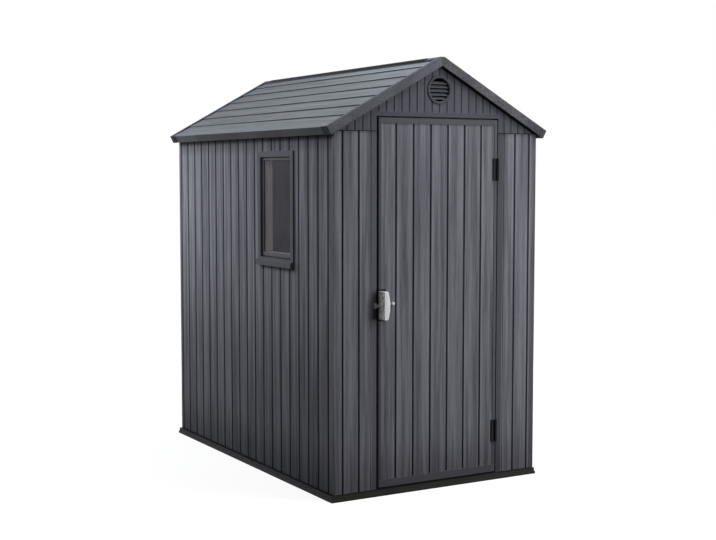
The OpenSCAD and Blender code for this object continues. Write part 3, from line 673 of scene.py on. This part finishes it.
def moulded_finish(name, colour, speckle=0.25, grain_size=420.0, roughness=0.55, specular=0.04,
                   wear=0.25, relief=0.3 * MM, joint=0.0, painted_light_patch=None, black_zone=None,
                   mottled=None):
    """Stippled moulding: fine noise in colour and relief, cloudy tone, lighter edges.

    joint is the half width of a butt joint in the middle plane of the shed: pieces that
    have one also have their undersides painted black as shade. dusty is a zone and its
    colour of painted light, patchy with the cloud. black_zone is a zone coloured black: painted
    shade in a gap, and the black knuckles of the hinges. mottled is a pair of colours that
    take over where a face looks to the left.
    """
    material, tree, shader = start_material(name, roughness, specular)
    place = object_place(tree)
    fine = noise(tree, place, grain_size, 2.0)
    cloud = noise(tree, place, cloud_scale, 3.0)
    edges = place_group(tree, edge_group, {"Radius": moulding_edge_radius})
    tone = calc(tree, "ADD",
                calc(tree, "MULTIPLY", ramp(tree, fine, *noise_span), fine_share),
                calc(tree, "MULTIPLY", ramp(tree, cloud, *noise_span), cloud_share))
    body = mix(tree, tone, scaled(colour, 1 - speckle), scaled(colour, 1 + speckle))
    worn = mix(tree, calc(tree, "MULTIPLY", edges["Edge"], wear), body,
               scaled(colour, moulding_scuff_lift))
    if joint:
        from_middle = calc(tree, "ABSOLUTE", axes(tree, place)["X"])
        worn = mix(tree, ramp(tree, from_middle, 0.0, joint, joint_share, 0.0), worn, shade_and_joint_black)
        worn = mix(tree, looks_down(tree), worn, shade_and_joint_black)
    if painted_light_patch:
        zone, patch_colour = painted_light_patch
        worn = mix(tree, calc(tree, "MULTIPLY", zone_mask(tree, place, zone),
                              ramp(tree, cloud, *light_patch_span, least_light_patch, 1.0)), worn, patch_colour)
    if mottled:
        facing = add_node(tree, "ShaderNodeNewGeometry").outputs["Normal"]
        leftward = calc(tree, "MULTIPLY", -1.0, axes(tree, facing)["X"])
        stain = noise(tree, place, stain_scale, 3.0)
        patches = mix(tree, ramp(tree, stain, *stain_span), *mottled)
        worn = mix(tree, ramp(tree, leftward, *left_span), worn, patches)
    if black_zone:
        worn = mix(tree, zone_mask(tree, place, black_zone), worn, shade_and_joint_black)
    tree.links.new(worn, shader.inputs["Base Color"])
    tree.links.new(ramp(tree, cloud, *noise_span,
                        roughness - cloud_gloss, roughness + cloud_gloss),
                   shader.inputs["Roughness"])
    bump = add_node(tree, "ShaderNodeBump", {
        "Strength": 1.0, "Distance": relief, "Height": fine, "Normal": edges["Normal"]})
    tree.links.new(bump.outputs[0], shader.inputs["Normal"])
    return material


# %% Finishes of the smooth mouldings
# Over this height the base is painted black, as the shadow in the gap under the walls.
base_lip = base_top - 4.5 * MM  # over this lies the dark gap under the walls
barge_joint = 4 * MM
barge_grain = 150.0
# One resin painted two ways: lighter on the left bargeboards and darker on the right ones, as
# light and shade.
left_trim_finish = moulded_finish(
    "left_trim_resin", (0.097, 0.103, 0.120, 1), speckle=0.35, grain_size=barge_grain,
    joint=barge_joint, wear=0.05)
right_trim_finish = moulded_finish(
    "right_trim_resin", (0.076, 0.077, 0.085, 1), speckle=0.75, grain_size=barge_grain,
    joint=barge_joint)
# The ridge cap is painted near black, as the shade of its side face.
cap_finish = moulded_finish("cap_resin", (0.036, 0.038, 0.040, 1))
casing_finish = moulded_finish("casing_resin", (0.097, 0.102, 0.118, 1), speckle=0.15)
vent_finish = moulded_finish("vent_resin", (0.072, 0.073, 0.088, 1), speckle=0.15, wear=0.1)
sash_finish = moulded_finish("sash_resin", (0.124, 0.125, 0.134, 1), speckle=0.15)
# The sides of the base are painted lighter than its front, as light, and its top edge is
# painted black as shade.
base_finish = moulded_finish(
    "base_resin", (0.032, 0.033, 0.028, 1), speckle=0.3, roughness=0.65,
    painted_light_patch=({"Y": (front_y + 2 * MM, reach), "Z": (-reach, base_lip)},
           (0.077, 0.077, 0.084, 1)),
    black_zone={"Z": (base_lip, base_top + 1 * MM)})
black_finish = moulded_finish(
    "black_plastic", (0.012, 0.012, 0.015, 1), speckle=0.2, roughness=0.45, wear=0.12)
# The lining is painted pale, as light through the pane, with less of that light on its lower
# ledge.
lining_foot = low("window_lining")[2]
lining_ledge = 44 * MM
lining_finish = moulded_finish(
    "lining_resin", (0.88, 0.80, 0.76, 1), speckle=0.05,
    painted_light_patch=({"Z": (lining_foot - 1 * MM, lining_foot + lining_ledge)}, (0.42, 0.385, 0.365, 1)))
print("base lip at", round(base_lip, 4), "foot of the lining at", round(lining_foot, 4))

# %% Finishes of the handle, the latch and its keeper
# The cast grip is satin metal, cloudy where its closed side looks to the left.
metal_finish = moulded_finish(
    "handle_metal", (0.72, 0.73, 0.74, 1), speckle=0.06, roughness=0.38, specular=0.5,
    wear=0.2, relief=0.1 * MM, mottled=((0.46, 0.465, 0.46, 1), (0.97, 0.98, 0.97, 1)))
latch_finish = moulded_finish(
    "latch_metal", (0.66, 0.67, 0.68, 1), speckle=0.06, roughness=0.4, specular=0.5, wear=0.2)
keeper_finish = moulded_finish(
    "keeper_metal", (0.38, 0.385, 0.39, 1), speckle=0.1, roughness=0.5, specular=0.2)
print("metal finishes:", [
    finish.name for finish in (metal_finish, latch_finish, keeper_finish)])

# %% [markdown]
# ## Hinges
# A hinge has black knuckles, a dark grey leaf on the door, and a leaf on the jamb that is
# moulded in the grey of the jamb. The knuckles belong to the same CAD nodes as the leaves.
# Their faces could be picked one by one for a second material, but a dark zone round the
# hinge axis does the same with one box, in both leaves and at both hinges.

# %% Finishes of the hinges
knuckle_radius = 7.5 * MM
hinge_axis = low("upper_hinge_frame")[0] + knuckle_radius
knuckle_zone = {"X": (hinge_axis - knuckle_radius - sliver,
                      hinge_axis + knuckle_radius + 2 * sliver)}
hinge_finish = moulded_finish("hinge_resin", (0.060, 0.061, 0.073, 1), speckle=0.2,
                              black_zone=knuckle_zone)
leaf_finish = moulded_finish("leaf_resin", (0.032, 0.032, 0.042, 1), speckle=0.2,
                             black_zone=knuckle_zone)
print("hinge axis at x", round(hinge_axis, 4))

# %% [markdown]
# ## The pane
# The window has a thin sheet of clear plastic with a violet tint and a little haze. Glass
# that bends light would need two faces and many samples, and a sheet this thin hardly bends
# the view. So most of the light goes straight through, and a thin share shows the tint.

# %% Finish of the pane
pane_dark, pane_light = (0.170, 0.160, 0.205, 1), (0.220, 0.205, 0.260, 1)
haze_scale = 6.0
least_cover, most_cover = 0.14, 0.17  # the share of the view that the tint covers

pane_finish, tree, shader = start_material("tinted_pane", roughness=0.06, specular=0.22)
haze = noise(tree, object_place(tree), haze_scale, 2.0)
tree.links.new(mix(tree, haze, pane_dark, pane_light), shader.inputs["Base Color"])
tree.links.new(ramp(tree, haze, *noise_span, least_cover, most_cover), shader.inputs["Alpha"])
print("pane:", pane_finish.name)

# %% [markdown]
# ## Which piece has which finish
# The real shed comes as a stack of mouldings from a few moulds, and pieces from one mould
# share a look. Each node could be dressed where its finish is made, but one list of
# finishes with their pieces shows at a glance that none is left out.

# %% Give every CAD node its finish
finish_of = {
    side_wall_finish: ["left_wall_front", "left_wall_back",
                       "right_wall_front", "right_wall_back"],
    front_wall_finish: ["front_wall_left", "front_wall_right"],
    back_wall_finish: ["back_wall_left", "back_wall_right"],
    gable_finish: ["front_gable", "back_gable"],
    door_finish: ["door_panel"],
    roof_finish: ["roof_left", "roof_right"],
    cap_finish: ["ridge_cap"],
    left_trim_finish: ["front_barge_left", "back_barge_left"],
    right_trim_finish: ["front_barge_right", "back_barge_right"],
    casing_finish: ["window_casing"],
    vent_finish: ["front_vent", "back_vent"],
    sash_finish: ["window_frame"],
    lining_finish: ["window_lining"],
    base_finish: ["floor_front", "floor_back"],
    hinge_finish: ["upper_hinge_frame", "lower_hinge_frame"],
    leaf_finish: ["upper_hinge_leaf", "lower_hinge_leaf"],
    black_finish: ["ridge_beam", "handle_plate"],
    metal_finish: ["handle_grip"],
    latch_finish: ["latch_lever"],
    keeper_finish: ["latch_keeper"],
    pane_finish: ["window_pane"],
}
for finish, names in finish_of.items():
    for name in names:
        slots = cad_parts[name].data.materials
        slots.clear()
        slots.append(finish)
bare = set(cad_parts) - {name for names in finish_of.values() for name in names}
print("nodes with a finish:", len(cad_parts) - len(bare), "left bare:", sorted(bare))

# %% [markdown]
# ## The pull grip
# The grip is a cast block with a flat closed side towards the latch edge and a bowed side
# towards the hinges, where the fingers go in. A casting has no sharp edges, and the CAD
# solid only chamfers them. Bevelled boxes could be joined into the same block, but a bow
# and a pocket that eases out are simpler as formulas of the height, so the grip is made
# again as one surface. Seen from above, its outline is one loop of points: up the closed
# side, across the front, back along the fingers' pocket and home along the plate. Each
# height gives that loop its own width, pocket depth and inset, so a grid of heights and
# loop points is the whole grip.

# %% Helper for surfaces


def add_surface(name, grid, material, body):
    """Makes a mesh piece from a grid of points.

    grid has the shape rows x loop points x 3. Each row is a closed loop, neighbouring rows
    are joined by quads, and the first and last rows are closed by a fan round their middle.
    """
    rows, around = grid.shape[:2]
    spot = np.arange(around)
    ahead = (spot + 1) % around
    start = np.arange(rows - 1)[:, None] * around
    quads = np.stack([start + spot, start + ahead,
                      start + around + ahead, start + around + spot], -1).reshape(-1, 4)
    first, last = rows * around, rows * around + 1
    top = (rows - 1) * around
    foot = np.stack([ahead, spot, np.full(around, first)], -1)
    head = np.stack([top + spot, top + ahead, np.full(around, last)], -1)
    faces = quads.tolist() + foot.tolist() + head.tolist()
    middles = grid[[0, -1]].mean(axis=1)
    points = np.concatenate([grid.reshape(-1, 3), middles])
    mesh = bpy.data.meshes.new(name)
    mesh.from_pydata(points.tolist(), [], faces)
    mesh.polygons.foreach_set("use_smooth", np.ones(len(mesh.polygons), bool))
    mesh.materials.append(material)
    piece = bpy.data.objects.new(name, mesh)
    bpy.context.collection.objects.link(piece)
    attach(piece, body)
    return piece


def round_corner(radius, steps):
    """Run and rise of a round corner: radius times sine, and radius times (1 - cosine)."""
    angle = np.linspace(0, math.pi / 2, steps)
    return radius * np.sin(angle), radius * (1 - np.cos(angle))


# %% Pull grip
grip_low, grip_high = np.array(low("handle_grip")), np.array(high("handle_grip"))
grip_depth = grip_high[1] - grip_low[1]
grip_half = (grip_high[2] - grip_low[2]) / 2
grip_middle = (grip_high[2] + grip_low[2]) / 2
grip_width = grip_high[0] - grip_low[0]
grip_end_width = 21 * MM
grip_front = 15 * MM
grip_side = 8 * MM
grip_leg = 14 * MM
grip_leg_ease = 5 * MM
grip_round = 3.5 * MM


def grip_surface(rows=96, corner_steps=7):
    """Grid of the pull grip.

    The height runs from the foot to the head, denser at both ends. Width: the bow is a
    parabola between the middle and the ends. Inset: a quarter circle over the last few
    millimetres rounds the ends. Pocket: full depth between the legs, and easing to nothing
    over the legs' inner edge. Each row's loop is: closed side, rounded corner, front,
    rounded corner, back of the front, pocket wall, plate.
    """
    turn = np.linspace(-math.pi / 2, math.pi / 2, rows)[:, None]
    height = grip_half * np.sin(turn)
    from_end = grip_half - np.abs(height)
    short = np.clip(1 - from_end / grip_round, 0, 1)
    inset = grip_round * (1 - np.sqrt(1 - short ** 2))
    bow = grip_end_width + (grip_width - grip_end_width) * (1 - (height / grip_half) ** 2)
    ease = np.clip((from_end - grip_leg) / grip_leg_ease, 0, 1)
    pocket = (bow - grip_side) * ease * ease * (3 - 2 * ease)

    left, right = inset, bow - inset
    front = inset - grip_depth
    back = np.minimum(front + grip_front, 0)
    wall = right - np.maximum(pocket, grip_round)
    plate = np.zeros_like(left)
    run, rise = round_corner(grip_round, corner_steps)
    x = np.hstack([left, left + rise, right - grip_round + run, right - rise,
                   wall + grip_round - run, wall])
    y = np.hstack([plate, front + grip_round - run, front + rise, back - grip_round + run,
                   back + rise, plate])
    z = np.broadcast_to(height, x.shape)
    return np.stack([grip_low[0] + x, grip_high[1] + y, grip_middle + z], axis=-1)


pull_grip = add_surface("pull_grip", grip_surface(), metal_finish, "door")
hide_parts("handle_grip")
print("pull grip:", len(pull_grip.data.polygons), "faces")

# %% [markdown]
# ## Studio
# The shed stands on pale ground that runs out to white. A bent backdrop of paper would do
# that as in a real studio, but it would light the shed from all sides. Here the floor is a
# large square that looks bright and still takes the shed's soft shadow, and the sky behind
# it is white to look at. For light that bounces, both are nearly dark, which keeps the
# grooves and the undersides dark.

# %% Floor and background
floor_size = 60.0
floor_glow, glow_from, glow_to = 0.84, 1.2, 4.0  # full white is reached 4 m out
paper_grey, dull_grey = (0.30, 0.30, 0.30, 1), (0.05, 0.05, 0.05, 1)
sky_colour, sky_strength = (0.95, 0.98, 1.0, 1), 0.05
white_colour = (1, 1, 1, 1)
floor_mesh = bpy.data.meshes.new("studio_floor")
corners = floor_size / 2 * np.array([[-1, -1, 0], [1, -1, 0], [1, 1, 0], [-1, 1, 0]], float)
floor_mesh.from_pydata(corners.tolist(), [], [(0, 1, 2, 3)])
studio_floor = bpy.data.objects.new("studio_floor", floor_mesh)
bpy.context.collection.objects.link(studio_floor)


def seen_directly(tree):
    """1 for rays from the camera, a reflection or through glass, 0 for light that bounces."""
    path = add_node(tree, "ShaderNodeLightPath").outputs
    seen = calc(tree, "MAXIMUM", path["Is Camera Ray"], path["Is Glossy Ray"])
    return calc(tree, "MAXIMUM", seen, path["Is Transmission Ray"])


floor_finish = bpy.data.materials.new("studio_floor")
floor_finish.use_nodes = True
tree = floor_finish.node_tree
tree.nodes.clear()
away = add_node(tree, "ShaderNodeVectorMath", {0: object_place(tree)},
                operation="LENGTH").outputs["Value"]
glow = add_node(tree, "ShaderNodeEmission", {
    "Color": white_colour,
    "Strength": ramp(tree, away, glow_from, glow_to, floor_glow, 1.0)}).outputs[0]
paper = add_node(tree, "ShaderNodeBsdfDiffuse", {"Color": paper_grey}).outputs[0]
bright = add_node(tree, "ShaderNodeAddShader", {0: glow, 1: paper}).outputs[0]
dull = add_node(tree, "ShaderNodeBsdfDiffuse", {"Color": dull_grey}).outputs[0]
surface = add_node(tree, "ShaderNodeMixShader", {0: seen_directly(tree), 1: dull, 2: bright})
add_node(tree, "ShaderNodeOutputMaterial", {"Surface": surface.outputs[0]})
floor_mesh.materials.append(floor_finish)

world = bpy.data.worlds.new("studio")
bpy.context.scene.world = world
world.use_nodes = True
tree = world.node_tree
tree.nodes.clear()
white = add_node(tree, "ShaderNodeBackground", {
    "Color": white_colour, "Strength": 1.0}).outputs[0]
sky = add_node(tree, "ShaderNodeBackground", {
    "Color": sky_colour, "Strength": sky_strength}).outputs[0]
backdrop = add_node(tree, "ShaderNodeMixShader", {0: seen_directly(tree), 1: sky, 2: white})
add_node(tree, "ShaderNodeOutputWorld", {"Surface": backdrop.outputs[0]})
print("floor", floor_size, "m wide, world", world.name)

# %% [markdown]
# ## Lamps
# Daylight on this shed comes from all over the sky, a little stronger on the side wall, the
# door and the roof. One large lamp could not set those three apart. So there are seven
# soft square lamps: two at the left for the side wall, a key lamp and two low ones at the
# front right for the door, one over the roof, and one for the far side.

# %% Lamps


def soft_lamp(name, place, aim, size, power, colour):
    """A square area lamp at place, turned towards aim: size in metres, power in watts."""
    lamp = bpy.data.lights.new(name, "AREA")
    lamp.shape = "SQUARE"
    lamp.size = size
    lamp.energy = power
    lamp.color = colour
    made = bpy.data.objects.new(name, lamp)
    bpy.context.collection.objects.link(made)
    made.location = place
    ahead = np.array(aim, float) - np.array(place, float)
    ahead /= np.linalg.norm(ahead)
    made.rotation_euler = (math.acos(-ahead[2]), 0, math.atan2(ahead[0], -ahead[1]) + math.pi)
    made.visible_camera = False
    made.visible_glossy = False
    return made


# Each lamp: name, place, aim, size, power and colour.
lamps = [
    soft_lamp("back_left_lamp", (-1.7, 1.5, 1.9), (-0.57, 0.9, 1.6), 1.3, 28,
              (0.97, 1.0, 1.02)),
    soft_lamp("left_lamp", (-2.4, -0.6, 2.4), (-0.57, -0.2, 1.4), 1.3, 21.5, (1.0, 1.0, 1.0)),
    soft_lamp("key_lamp", (2.6, -3.7, 3.1), (0.1, -0.92, 1.0), 1.0, 70, (1.0, 0.995, 1.0)),
    soft_lamp("low_right_lamp", (2.2, -3.2, 1.1), (0.2, -0.92, 0.8), 1.3, 36, (1.0, 1.0, 1.0)),
    soft_lamp("low_front_lamp", (1.6, -4.2, 0.9), (0.2, -0.92, 0.7), 1.3, 26, (1.0, 1.0, 1.0)),
    soft_lamp("top_lamp", (0.3, -1.3, 3.4), (-0.2, -0.7, 2.0), 1.3, 43, (1.0, 1.0, 1.0)),
    soft_lamp("far_side_lamp", (2.8, 3.2, 2.6), (0.3, 0.4, 1.2), 1.6, 90, (1.0, 1.0, 1.0)),
]
for lamp in lamps:
    print(lamp.name, lamp.data.energy, "W")
